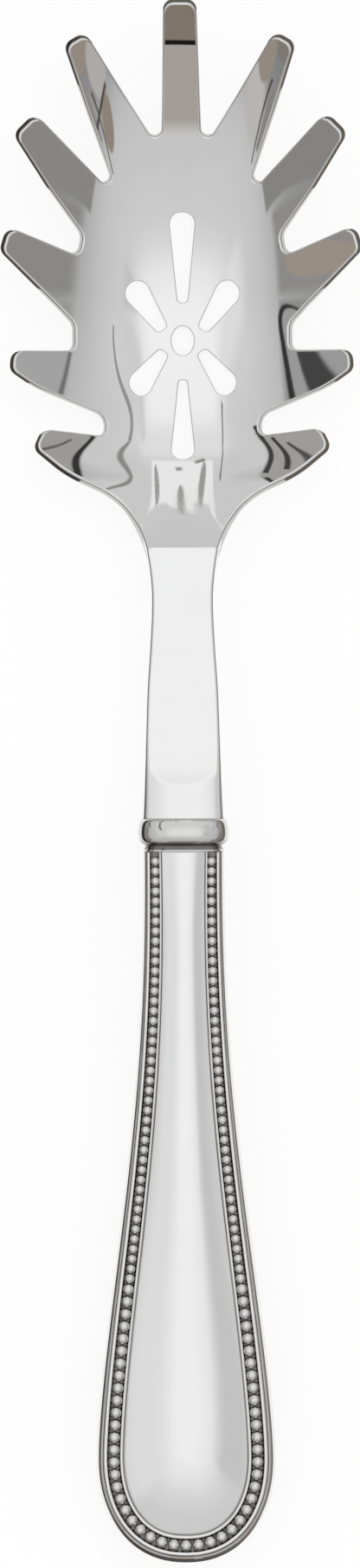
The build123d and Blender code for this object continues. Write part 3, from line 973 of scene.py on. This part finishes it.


# Steel: scales of the waves, the clouds and the polishing lines, heights of waves and lines in metres, what
# clouds, lines and painted shade add to the roughness, the colour left in a cloud, and the least painted
# shade
WAVE_SCALE = 70.0
CLOUD_SCALE = 140.0
LINE_SCALES = (2600.0, 160.0, 2600.0)
WAVE_HEIGHT = 0.0006
LINE_HEIGHT = 0.00002
LINE_STRENGTH = 0.012
CLOUD_ROUGHNESS, LINE_ROUGHNESS, SHADE_FILM_ROUGHNESS = 0.012, 0.008, 0.14
CLOUD_COLOR_SHARE = 0.955
CLOUD_SHARE = 0.8
SHADE_LEAST = 0.72
# Painted shade round the foot of each bead, a dark crescent, ends between these heights on the ball
BALL_SHADE = (0.14, 0.60)


def steel(name, finishes, balls=False):
    """Mirror-polished steel with faint waves, lines along its length and painted shade in recesses, on edges
    and round bead feet.
    """
    material, bench = new_material(name)
    place = bench.node("ShaderNodeTexCoord", out="Object")
    broad = bench.node("ShaderNodeTexNoise", {}, place, Scale=WAVE_SCALE, Detail=1.0)
    lines = bench.node("ShaderNodeMapping", {}, place, Scale=LINE_SCALES)
    fine = bench.node("ShaderNodeTexNoise", {}, lines, Scale=1.0, Detail=2.0)
    cloud = bench.node("ShaderNodeTexNoise", {}, place, Scale=CLOUD_SCALE, Detail=3.0)
    light, shade = opaque(finishes.steel_color), opaque(finishes.steel_color, CLOUD_COLOR_SHARE)
    color = mix_color(bench, cloud * CLOUD_SHARE, light, shade)
    # Mask of the painted shade, from the point attribute or from the height on each bead
    source = {"attribute_name": "ball_height" if balls else "recess"}
    shade_film = bench.node("ShaderNodeAttribute", source, out="Fac")
    # On the beads the painted shade comes from the height on each ball, darkest at its foot
    if balls:
        shade_film = soft_share(bench, shade_film, *BALL_SHADE, 1.0, 0.0)
    shade_film = shade_film * (SHADE_LEAST + (1 - SHADE_LEAST) * cloud)
    # Painted shade: the dark colour mixed in by that mask
    color = mix_color(bench, shade_film, color, opaque(finishes.painted_shade_color))
    roughness = finishes.steel_roughness + CLOUD_ROUGHNESS * cloud
    roughness = roughness + LINE_ROUGHNESS * fine + SHADE_FILM_ROUGHNESS * shade_film
    waves = bench.node("ShaderNodeBump", Strength=finishes.wave_strength, Distance=WAVE_HEIGHT, Height=broad)
    marks = bench.node(
        "ShaderNodeBump", Strength=LINE_STRENGTH, Distance=LINE_HEIGHT, Height=fine, Normal=waves)
    shader = bench.node(
        "ShaderNodeBsdfPrincipled", Base_Color=color, Metallic=1.0, Roughness=roughness, Normal=marks)
    bench.node("ShaderNodeOutputMaterial", {}, shader)
    return material


# Cement: scale and height of its grain, and the share of colour left in it
GRAIN_SCALE = 900.0
GRAIN_HEIGHT = 0.0002
GRAIN_COLOR_SHARE = 0.7


def cement(name, finishes):
    """The grey, grainy core of the handle."""
    material, bench = new_material(name)
    place = bench.node("ShaderNodeTexCoord", out="Object")
    grain = bench.node("ShaderNodeTexNoise", {}, place, Scale=GRAIN_SCALE, Detail=4.0)
    light, dark = opaque(finishes.cement_color), opaque(finishes.cement_color, GRAIN_COLOR_SHARE)
    color = mix_color(bench, grain, light, dark)
    pits = bench.node("ShaderNodeBump", Strength=0.3, Distance=GRAIN_HEIGHT, Height=grain)
    shader = bench.node("ShaderNodeBsdfPrincipled", Base_Color=color, Roughness=0.85, Normal=pits)
    bench.node("ShaderNodeOutputMaterial", {}, shader)
    return material


# Shade of the studio by its angle from straight up in degrees, on the butt's side and behind the tines
STUDIO_FRONT = [
    (0, 0.945), (7, 0.935), (13, 0.9), (20, 0.835), (26, 0.8), (32, 0.79), (40, 0.78), (48, 0.77), (55, 0.75),
    (60, 0.72), (66, 0.66), (72, 0.58), (80, 0.52), (90, 0.42),
]
STUDIO_BACK = [
    (0, 0.945), (7, 0.93), (13, 0.885), (40, 0.86), (48, 0.825), (56, 0.80), (64, 0.785), (72, 0.785),
    (80, 0.70), (90, 0.55),
]
# Panels of the studio: turn from the butt's direction and angle from straight up, lean of the long side,
# half its length and half its width, softness, shade and how brown it is
PANELS = [
    (95.0, 27.0, 0, 45.0, 7.0, 7.0, 0.80, 0.0), (-95.0, 22.0, 0, 45.0, 8.0, 8.0, 0.865, 0.0),
    (70.0, 21.5, 0, 12.0, 6.0, 4.0, 0.765, 0.0),
    (0.0, 57.5, 0, 9.5, 9.6, 2.4, 0.645, 0.55), (0.0, 80.0, 0, 10.0, 12.8, 0.25, 0.50, 1.0),
    (5.2, 79.0, 0, 2.6, 11.0, 0.3, 0.68, 0.2), (-1.8, 66.9, 0, 3.2, 0.5, 0.15, 0.08, 0.0),
    (43.0, 84.5, 0, 8.0, 5.5, 0.5, 0.58, 0.9), (-43.0, 87.0, 0, 8.0, 4.6, 0.5, 0.50, 0.6),
    (58.0, 74.5, 0, 10.0, 12.0, 0.8, 0.53, 0.1), (-57.5, 73.5, 0, 9.5, 13.5, 0.8, 0.52, 0.1),
    (77.0, 77.5, 0, 9.0, 12.0, 2.0, 0.54, 0.1), (-77.0, 76.5, 0, 8.5, 13.0, 1.6, 0.55, 0.1),
    (95.0, 76.5, 0, 8.0, 11.0, 1.4, 0.60, 0.1), (-95.0, 74.5, 0, 8.0, 11.0, 1.2, 0.56, 0.1),
    (122.0, 77.0, 38, 24.0, 7.5, 0.5, 0.61, 0.1), (-122.0, 75.5, -35, 24.0, 9.5, 0.5, 0.62, 0.1),
]
# Rounded patches of the studio, in the same order
PATCHES = [
    (39.0, 75.0, 0, 6.0, 7.0, 0.10, 0.68, 0.2), (40.5, 61.0, 0, 5.0, 7.5, 0.12, 0.56, 1.0),
    (-39.0, 67.0, 0, 8.5, 10.0, 0.25, 0.72, 0.1), (-41.0, 79.0, 0, 4.4, 6.0, 0.12, 0.58, 0.9),
    (-80.0, 70.5, 10, 3.2, 4.0, 0.12, 0.60, 0.9), (97.0, 68.5, 15, 5.5, 3.4, 0.10, 0.42, 0.0),
    (97.0, 68.7, 15, 4.9, 2.9, 0.10, 0.64, 0.0), (-95.0, 67.5, -20, 7.0, 4.2, 0.08, 0.20, 0.0),
    (-95.2, 68.2, -20, 6.0, 3.3, 0.08, 0.60, 0.0), (-96.5, 69.0, -25, 3.2, 1.3, 0.20, 0.26, 0.0),
]
# Dark seams of the studio, in the same order
SEAMS = [
    (43.0, 68.0, -8, 6.5, 0.8, 0.35, 0.34, 1.0), (46.0, 62.0, 90, 12.0, 0.45, 0.25, 0.36, 0.6),
    (-46.8, 66.0, 90, 12.0, 0.45, 0.25, 0.32, 0.3), (-73.5, 70.5, 58, 6.0, 0.6, 0.3, 0.24, 0.1),
    (122.0, 69.0, 38, 21.0, 0.8, 0.3, 0.20, 0.0), (118.0, 73.0, 38, 13.0, 0.4, 0.2, 0.38, 0.0),
    (-122.0, 65.4, -35, 21.0, 0.8, 0.3, 0.24, 0.0), (-121.0, 70.2, -38, 16.0, 0.7, 0.3, 0.24, 0.0),
    (-120.0, 73.6, -38, 12.0, 0.5, 0.3, 0.30, 0.0),
    (106.0, 44.5, 24.6, 11.8, 0.75, 0.4, 0.56, 0.1), (133.4, 62.2, 37.6, 20.5, 0.75, 0.4, 0.54, 0.1),
    (-122.5, 27.5, -23, 19.0, 2.8, 1.0, 0.50, 0.1), (-150.0, 45.0, -45, 14.5, 2.2, 0.8, 0.48, 0.1),
    (-164.0, 60.5, -54, 7.5, 1.6, 0.6, 0.48, 0.1),
]
# Where the shade changes from the butt's side to the one behind the tines, as shares towards the front
BACK_START, BACK_END = -0.15, 0.55
# The back of the bowl, which mirrors the crown, in millimetres: its first and last place, where its rows are
# counted from, how many stops are worked out, and how far across the turns are taken
CROWN_STRETCH = (-21.4, -34.0)
CROWN_TOP = -19.0
CROWN_STOPS = 14
CROWN_SIDE = 2.0
# Range of angles of the crown's colour ramps, and what their values are shares of
GATHER_START, GATHER_END, GATHER_MOST = 44.0, 77.0, 20.0
# The bright crown that the back of the bowl mirrors and the dark gaps in it, across and down it
CROWN_PANELS = [
    (-0.1, 6.2, 0, 5.9, 3.7, 0.35, 0.905, 0.0), (3.2, 2.6, -18, 0.9, 0.28, 0.08, 0.56, 0.1),
    (-0.65, 4.0, 0, 0.55, 0.32, 0.12, 0.56, 0.1),
]
CROWN_PATCHES = [
    (-2.55, 9.0, 59, 2.4, 0.85, 0.10, 0.905, 0.0), (0.85, 9.6, 90, 2.4, 0.9, 0.10, 0.905, 0.0),
    (5.1, 9.0, 96, 2.2, 0.6, 0.15, 0.89, 0.0), (-4.8, 6.6, 86, 3.4, 0.5, 0.12, 0.62, 0.1),
    (-0.55, 9.6, 90, 2.7, 0.62, 0.12, 0.58, 0.1), (3.35, 6.6, 99, 4.0, 0.56, 0.10, 0.60, 0.1),
]
DEGREE = math.pi / 180
# What the shades above are measured against: the share of light that the steel gives back
STEEL_RETURN = 0.865
BROWN_GREEN, BROWN_BLUE = 0.16, 0.30
# Camera in metres: its distance, its lean in radians, what it aims at and where it stands
CAMERA_DISTANCE = 3.0
CAMERA_LEAN = 0.0162
CAMERA_AIM = (-0.00078, -0.00046)
CAMERA_PLACE = (
    CAMERA_AIM[0] + CAMERA_DISTANCE * math.sin(CAMERA_LEAN), CAMERA_AIM[1],
    CAMERA_DISTANCE * math.cos(CAMERA_LEAN),
)


def mirrored(x, y):
    """What the bowl mirrors there: turn behind the tines, angle from straight up, and the place on top."""
    base, normal = sheet_frame(x, y)
    top = base + normal * SHEET
    view = np.array(CAMERA_PLACE) - bowl_to_frame(top)
    view /= np.linalg.norm(view, axis=-1, keepdims=True)
    way = 2 * (normal * view).sum(axis=-1, keepdims=True) * normal - view
    return np.degrees(np.arctan2(way[:, 0], way[:, 1])), np.degrees(np.arccos(way[:, 2])), top


def crown_chart():
    """How the back of the bowl gathers the studio: middle turn, reach, and angle, spread and row by stop."""
    y = np.linspace(*CROWN_STRETCH, CROWN_STOPS)
    turns = []
    for side in (0.0, CROWN_SIDE, 2 * CROWN_SIDE):
        x = np.full_like(y, side)
        for _ in range(3):
            x += side - mirrored(x, y)[2][:, 0]
        turns.append(mirrored(x, y)[0])
    middle, near, far = turns[0], turns[0] - turns[1], turns[0] - turns[2]
    reach = CROWN_SIDE / math.acosh(float(np.median(far / near)) / 2)
    spread = near / math.sinh(CROWN_SIDE / reach)
    _, low, top = mirrored(np.zeros_like(y), y)
    stops = [tuple(map(float, stop)) for stop in zip(low, spread, CROWN_TOP - top[:, 1])]
    return float(middle.mean()), reach, stops


def studio_tint(shade, brown):
    """The light that shows as this shade in the steel, with a brown cast."""
    level = ((shade + 0.055) / 1.055) ** 2.4 / STEEL_RETURN
    return (level, level * (1 - BROWN_GREEN * brown), level * (1 - BROWN_BLUE * brown))


def panel_share(bench, across, down, panel, rounded):
    """How far a direction lies inside a panel or a rounded patch of the studio, from 0 to 1."""
    centre, height, lean, half_length, half_width, soft = panel[:6]
    cosine, sine = math.cos(lean * DEGREE), math.sin(lean * DEGREE)
    across, down = across - centre, down - height
    along, aside = across * cosine + down * sine, down * cosine - across * sine
    if rounded:
        along, aside = along / half_length, aside / half_width
        return fade_out(bench, (along * along + aside * aside).math("SQRT"), 1.0, soft)
    near = fade_out(bench, along.math("ABSOLUTE"), half_length, soft)
    return near * fade_out(bench, aside.math("ABSOLUTE"), half_width, soft)


def fade_out(bench, distance, half, soft):
    """A share that falls from 1 to 0 where a distance passes half a width."""
    return soft_share(bench, distance, half - soft, half + soft, 1.0, 0.0)


def shade_ramp(bench, table, low):
    """The shade of the studio by the angle from straight up."""
    stops = [(angle / 90, studio_tint(shade, 0.0)) for angle, shade in table]
    return bench.node("ShaderNodeValToRGB", {"stops": stops}, low / 90.0)


def crown_place(bench, back_turn, low):
    """The place across and down the back of the bowl that mirrors a direction behind the tines."""
    middle, unit, chart = crown_chart()
    steep = bench.node("ShaderNodeMapRange", {}, low, GATHER_START, GATHER_END)
    ramps = []
    for index in (1, 2):
        stops = []
        for stop in chart:
            place = (stop[0] - GATHER_START) / (GATHER_END - GATHER_START)
            stops.append((place, (stop[index] / GATHER_MOST,) * 3))
        ramps.append(bench.node("ShaderNodeValToRGB", {"stops": stops}, steep) * GATHER_MOST)
    spread, row = ramps
    reach = (back_turn - middle) / spread
    across = (reach + (reach * reach + 1.0).math("SQRT")).math("LOGARITHM", math.e) * -unit
    return across, row


def studio_material():
    """The studio that the polished metal mirrors: white overhead, grey and brown panels towards the table."""
    material, bench = new_material("light_tent")
    place = bench.node("ShaderNodeTexCoord", out="Object")
    heading = bench.node("ShaderNodeVectorMath", {"operation": "NORMALIZE"}, place)
    across, along, up = bench.node("ShaderNodeSeparateXYZ", {}, heading, out=("X", "Y", "Z"))
    low = up.math("ARCCOSINE") / DEGREE
    turn = across.math("ARCTAN2", along * -1.0) / DEGREE
    back_turn = across.math("ARCTAN2", along) / DEGREE
    front, back = (shade_ramp(bench, table, low) for table in (STUDIO_FRONT, STUDIO_BACK))
    color = mix_color(bench, soft_share(bench, along, BACK_START, BACK_END), front, back)
    crown = crown_place(bench, back_turn, low)
    groups = (((turn, low), PANELS, False), ((turn, low), PATCHES, True), ((turn, low), SEAMS, False),
              (crown, CROWN_PANELS, False), (crown, CROWN_PATCHES, True))
    for where, panels, rounded in groups:
        for panel in panels:
            share = panel_share(bench, *where, panel, rounded)
            color = mix_color(bench, share, color, opaque(studio_tint(*panel[6:])))
    glow = bench.node("ShaderNodeEmission", {}, color, 1.0)
    bench.node("ShaderNodeOutputMaterial", {}, glow)
    return material


# Cards on the table: half the opening, half the outer size and the height in metres, shade and brown of the
# darker and the lighter ones, and where across they change, with the lean of that line
CARD_OPENING = (0.034, 0.141)
CARD_REACH = 3.0
CARD_HEIGHT = 0.0002
CARD_DARK, CARD_LIGHT = (0.20, 0.5), (0.46, 0.7)
CARD_CHANGE = (-0.10, 0.06)
CARD_LEAN = 0.25


def card_material():
    """The dark cards on the table round the object, darker on the left and towards the butt."""
    material, bench = new_material("table_cards")
    place = bench.node("ShaderNodeTexCoord", out="Object")
    across, along = bench.node("ShaderNodeSeparateXYZ", {}, place, out=("X", "Y"))
    side = soft_share(bench, across + along * CARD_LEAN, *CARD_CHANGE)
    color = mix_color(bench, side, opaque(studio_tint(*CARD_DARK)), opaque(studio_tint(*CARD_LIGHT)))
    glow = bench.node("ShaderNodeEmission", {}, color, 1.0)
    bench.node("ShaderNodeOutputMaterial", {}, glow)
    return material


def build_cards():
    """A flat frame of card round the object, wide open in the middle."""
    points = []
    for x, y in (CARD_OPENING, (CARD_REACH, CARD_REACH)):
        points += [(-x, -y, CARD_HEIGHT), (x, -y, CARD_HEIGHT), (x, y, CARD_HEIGHT), (-x, y, CARD_HEIGHT)]
    faces = [(i, (i + 1) % 4, (i + 1) % 4 + 4, i + 4) for i in range(4)]
    return add_mesh("table_cards", points, faces)


# Floor: its glow for the eye, the metal and glass, and the share of its colour that takes real shade
FLOOR_GLOW = 0.82
FLOOR_SHADE_SHARE = 0.2


def floor_material(finishes):
    """Pale floor: its colour for the eye, the metal and glass, and a share of real shade."""
    material, bench = new_material("pale_floor")
    kinds = ("Is Camera Ray", "Is Glossy Ray", "Is Transmission Ray")
    by_eye, by_metal, by_glass = bench.node("ShaderNodeLightPath", out=kinds)
    seen = by_eye.math("MAXIMUM", by_metal).math("MAXIMUM", by_glass)
    plain = bench.node("ShaderNodeBsdfDiffuse", {}, opaque(finishes.floor_color))
    shaded = bench.node("ShaderNodeBsdfDiffuse", {}, opaque(finishes.floor_color, FLOOR_SHADE_SHARE))
    glow = bench.node("ShaderNodeEmission", {}, opaque((1.0, 1.0, 1.0)), FLOOR_GLOW)
    bright = bench.node("ShaderNodeAddShader", {}, shaded, glow)
    both = bench.node("ShaderNodeMixShader", {}, seen, plain, bright)
    bench.node("ShaderNodeOutputMaterial", {}, both)
    return material


# Stage in metres: floor, tent, world, lamp and camera, whose frame is the photograph's height at its scale
FLOOR_SIZE = 12.0
TENT_RADIUS = 60.0
WORLD_STRENGTH = 0.9
LAMP_SIZE = 0.8
LAMP_POWER = 2.0
LAMP_PLACE = (0.35, 0.5, 1.6)
LAMP_TURN = (-17.0, 12.0, 0.0)
PHOTO_HEIGHT_PX = 1812
PIXEL = 0.155 * MM
SENSOR = 24.0
CAMERA_ROLL = -0.2
CAMERA_END = 50.0


class ServerSizes(bpy.types.PropertyGroup):
    sheet_edge: FloatProperty(
        name="Sheet edge", description="Rounding of the bowl's edges", default=0.00042, unit="LENGTH")
    small_bead: FloatProperty(
        name="Small bead", description="Radius of the beads near the collar", default=0.00088, unit="LENGTH")
    large_bead: FloatProperty(
        name="Large bead", description="Radius of the beads round the butt", default=0.00109, unit="LENGTH")
    bead_height: FloatProperty(
        name="Bead height", description="Height of the bead centres over the seam", default=0.00402,
        unit="LENGTH")
    bead_flatness: FloatProperty(
        name="Bead flatness", description="Height of a bead as a share of its width", default=0.8,
        min=0.4, max=1.0)
    bead_segments: IntProperty(
        name="Bead facets", description="Facets round each bead", default=12, min=6, max=24)


class ServerFinishes(bpy.types.PropertyGroup):
    steel_color: FloatVectorProperty(
        name="Steel", description="Colour of the polished steel", subtype="COLOR",
        default=(0.862, 0.865, 0.863), min=0.0, max=1.0)
    # Colour of the painted shade in the recesses, on the edges and round the bead feet
    painted_shade_color: FloatVectorProperty(
        name="Recess film", description="Colour of the film left in the border", subtype="COLOR",
        default=(0.085, 0.07, 0.058), min=0.0, max=1.0)
    cement_color: FloatVectorProperty(
        name="Cement", description="Colour of the handle's core", subtype="COLOR",
        default=(0.42, 0.40, 0.37), min=0.0, max=1.0)
    floor_color: FloatVectorProperty(
        name="Floor", description="Colour of the floor", subtype="COLOR",
        default=(0.94, 0.94, 0.94), min=0.0, max=1.0)
    steel_roughness: FloatProperty(
        name="Polish", description="Roughness of the steel where it is cleanest", subtype="FACTOR",
        default=0.012, min=0.0, max=1.0)
    wave_strength: FloatProperty(
        name="Waves", description="Strength of the faint waves in the polish", subtype="FACTOR",
        default=0.012, min=0.0, max=1.0)


class SERVER_OT_bowl(bpy.types.Operator):
    """Make the pierced bowl with its tines, neck and shank"""
    bl_idname = "server.make_bowl"
    bl_label = "Bowl and neck"

    def execute(self, context):
        piece = build_bowl(context.scene.server_sizes.sheet_edge / MM)
        piece.data.materials.append(steel("head_steel_polish", context.scene.server_finishes))
        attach(piece, "root")
        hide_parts("server_head")
        return {"FINISHED"}


class SERVER_OT_collar(bpy.types.Operator):
    """Make the collar between shank and handle"""
    bl_idname = "server.make_collar"
    bl_label = "Collar"

    def execute(self, context):
        piece = build_collar()
        piece.data.materials.append(steel("collar_steel_polish", context.scene.server_finishes))
        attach(piece, "root")
        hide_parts("collar")
        return {"FINISHED"}


class SERVER_OT_shells(bpy.types.Operator):
    """Make the two stamped halves of the handle"""
    bl_idname = "server.make_shells"
    bl_label = "Handle shells"

    def execute(self, context):
        for word, side in (("front", 1.0), ("back", -1.0)):
            piece = build_shell(word + "_shell", side)
            finish = steel(word + "_shell_polish", context.scene.server_finishes)
            piece.data.materials.append(finish)
            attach(piece, "root")
            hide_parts("handle_" + word + "_shell")
        return {"FINISHED"}


class SERVER_OT_beads(bpy.types.Operator):
    """Make the rows of beads in the border of both shells"""
    bl_idname = "server.make_beads"
    bl_label = "Bead rows"

    def execute(self, context):
        for word, side in (("front", 1.0), ("back", -1.0)):
            finish = steel(word + "_bead_polish", context.scene.server_finishes, balls=True)
            piece = build_beads(word + "_beads", side, context.scene.server_sizes, finish)
            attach(piece, "root")
        return {"FINISHED"}


class SERVER_OT_filler(bpy.types.Operator):
    """Give the handle's cement core its finish"""
    bl_idname = "server.finish_filler"
    bl_label = "Cement core"

    def execute(self, context):
        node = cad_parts["handle_filler"]
        finish = cement("filler_grain", context.scene.server_finishes)
        for slot in node.material_slots:
            slot.material = finish
        return {"FINISHED"}


class SERVER_OT_stage(bpy.types.Operator):
    """Make the floor, the light tent, the lamp, the world and the camera"""
    bl_idname = "server.make_stage"
    bl_label = "Stage"

    def execute(self, context):
        scene = context.scene
        finishes = scene.server_finishes
        bpy.ops.mesh.primitive_plane_add(size=FLOOR_SIZE)
        floor = context.active_object
        floor.name = "floor"
        floor.data.materials.append(floor_material(finishes))
        bpy.ops.mesh.primitive_uv_sphere_add(radius=TENT_RADIUS, segments=64, ring_count=32)
        tent = context.active_object
        tent.name = "light_tent"
        tent.data.materials.append(studio_material())
        cards = build_cards()
        cards.data.materials.append(card_material())
        for mirrored in (tent, cards):
            for ray in ("camera", "diffuse", "transmission", "volume_scatter", "shadow"):
                setattr(mirrored, "visible_" + ray, False)

        world = bpy.data.worlds.new("studio")
        scene.world = world
        world.use_nodes = True
        world.node_tree.nodes["Background"].inputs["Color"].default_value = (1.0, 1.0, 1.0, 1.0)
        world.node_tree.nodes["Background"].inputs["Strength"].default_value = WORLD_STRENGTH
        world.cycles_visibility.glossy = False

        lamp = bpy.data.lights.new("soft_lamp", "AREA")
        lamp.shape = "DISK"
        lamp.size = LAMP_SIZE
        lamp.energy = LAMP_POWER
        holder = add_object("soft_lamp", lamp)
        holder.location = LAMP_PLACE
        holder.rotation_euler = [math.radians(turn) for turn in LAMP_TURN]
        holder.visible_glossy = False

        camera = bpy.data.cameras.new("camera")
        camera.sensor_fit = "VERTICAL"
        camera.sensor_height = SENSOR
        camera.lens = SENSOR * CAMERA_DISTANCE / (PHOTO_HEIGHT_PX * PIXEL)
        camera.clip_end = CAMERA_END
        view = add_object("camera", camera)
        view.location = CAMERA_PLACE
        view.rotation_euler = (0.0, CAMERA_LEAN, math.radians(CAMERA_ROLL))
        scene.camera = view
        scene.view_settings.view_transform = "Standard"
        return {"FINISHED"}


class SERVER_PT_panel(bpy.types.Panel):
    bl_idname = "SERVER_PT_panel"
    bl_label = "Pasta server"
    bl_space_type = "VIEW_3D"
    bl_region_type = "UI"
    bl_category = "Pasta server"

    def draw(self, context):
        for group in (context.scene.server_sizes, context.scene.server_finishes):
            for key in group.__annotations__:
                self.layout.prop(group, key)
        for operator in OPERATORS:
            self.layout.operator(operator.bl_idname)


OPERATORS = [
    SERVER_OT_stage, SERVER_OT_bowl, SERVER_OT_collar, SERVER_OT_shells, SERVER_OT_beads, SERVER_OT_filler,
]
CLASSES = [ServerSizes, ServerFinishes] + OPERATORS + [SERVER_PT_panel]


def register():
    for item in CLASSES:
        bpy.utils.register_class(item)
    bpy.types.Scene.server_sizes = PointerProperty(type=ServerSizes)
    bpy.types.Scene.server_finishes = PointerProperty(type=ServerFinishes)


def unregister():
    del bpy.types.Scene.server_finishes
    del bpy.types.Scene.server_sizes
    for item in reversed(CLASSES):
        bpy.utils.unregister_class(item)


def main():
    register()
    bpy.ops.server.make_stage()
    bpy.ops.server.make_bowl()
    bpy.ops.server.make_collar()
    bpy.ops.server.make_shells()
    bpy.ops.server.make_beads()
    bpy.ops.server.finish_filler()


if __name__ == "__main__":
    main()
